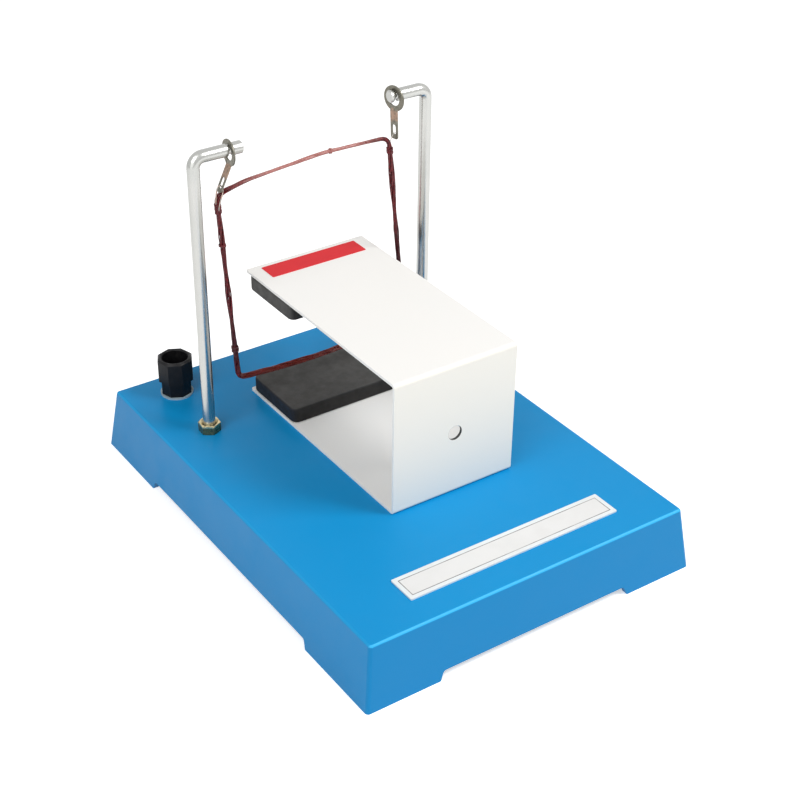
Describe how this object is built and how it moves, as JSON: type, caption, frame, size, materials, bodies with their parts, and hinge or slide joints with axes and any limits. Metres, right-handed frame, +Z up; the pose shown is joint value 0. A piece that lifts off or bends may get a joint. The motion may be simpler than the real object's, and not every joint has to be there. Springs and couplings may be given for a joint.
{
  "type": "ampere force apparatus",
  "caption": "Classroom stand that hangs a wire coil between the poles of a lying U-shaped magnet, to show the force on a current.",
  "frame": {"origin": "centre of the base at table level", "axes": "+Y from the label to the posts, +X to the right as seen from the label, +Z up"},
  "size_m": [0.148, 0.2, 0.154],
  "materials": {
    "base_plastic": "satin moulded blue",
    "label_sheet": "printed white sheet",
    "yoke_paint": "warm white, low gloss",
    "ferrite": "dull dark grey ferrite",
    "pole_mark": "red paint",
    "enamelled_wire": "clear red enamel over copper",
    "bright_rod": "bright nickel plate",
    "brass": "turned brass",
    "plated_steel": "zinc plate",
    "tinned_brass": "tinned",
    "pale_washer": "pale fibre",
    "plated_stud": "nickel plated",
    "black_plastic": "black moulded",
    "wire_jacket": "red jacket",
    "tinned_lug": "tinned, copper showing at the neck",
    "bare_copper": "bare copper"
  },
  "bodies": {
    "base": {"base_shell": "base_plastic", "label_plate": "label_sheet", "post_left": "bright_rod", "post_right": "bright_rod", "post_nut_left": "brass", "post_nut_right": "brass", "post_washer_left": "plated_steel", "post_washer_right": "plated_steel", "post_tag_left": "tinned_brass", "post_tag_right": "tinned_brass", "post_lock_nut_left": "brass", "post_lock_nut_right": "brass", "binding_washer_left": "pale_washer", "binding_washer_right": "pale_washer", "binding_stud_left": "plated_stud", "binding_stud_right": "plated_stud", "binding_collar_left": "black_plastic", "binding_collar_right": "black_plastic", "binding_lock_washer_left": "plated_steel", "binding_lock_washer_right": "plated_steel", "binding_tag_left": "tinned_brass", "binding_tag_right": "tinned_brass", "binding_nut_left": "brass", "binding_nut_right": "brass", "jumper_wire_left": "wire_jacket", "jumper_wire_right": "wire_jacket"},
    "magnet": {"yoke": "yoke_paint", "magnet_lower": "ferrite", "magnet_upper": "ferrite", "pole_strip": "pole_mark"},
    "coil": {"coil_winding": "enamelled_wire", "coil_wraps": "enamelled_wire", "coil_lead_left": "bare_copper", "coil_lead_right": "bare_copper", "hanger_lug_left": "tinned_lug", "hanger_lug_right": "tinned_lug"},
    "insert_left": {"binding_insert_left": "brass"},
    "insert_right": {"binding_insert_right": "brass"},
    "cap_left": {"binding_cap_left": "black_plastic"},
    "cap_right": {"binding_cap_right": "black_plastic"}
  },
  "joints": [
    {"name": "coil_swing", "type": "hinge", "parent": "base", "child": "coil", "pos_m": [0, 0.049, 0.1474], "axis": [0.9975, 0, 0.0705], "range_deg": [-45, 90]},
    {"name": "magnet_slide", "type": "slide", "parent": "base", "child": "magnet", "axis": [0, 1, 0], "range_m": [-0.03, 0.012]},
    {"name": "cap_rise_left", "type": "slide", "parent": "base", "child": "insert_left", "axis": [0, 0, 1], "range_m": [0, 0.003]},
    {"name": "cap_turn_left", "type": "hinge", "parent": "insert_left", "child": "cap_left", "pos_m": [-0.0493, 0.082, 0.0336], "axis": [0, 0, 1], "range_deg": [0, 1080]},
    {"name": "cap_rise_right", "type": "slide", "parent": "base", "child": "insert_right", "axis": [0, 0, 1], "range_m": [0, 0.003]},
    {"name": "cap_turn_right", "type": "hinge", "parent": "insert_right", "child": "cap_right", "pos_m": [0.0493, 0.082, 0.0336], "axis": [0, 0, 1], "range_deg": [0, 1080]}
  ],
  "couplings": [
    {"joint": "cap_turn_left", "follows": "cap_rise_left", "rad_per_m": 6283.2},
    {"joint": "cap_turn_right", "follows": "cap_rise_right", "rad_per_m": 6283.2}
  ]
}
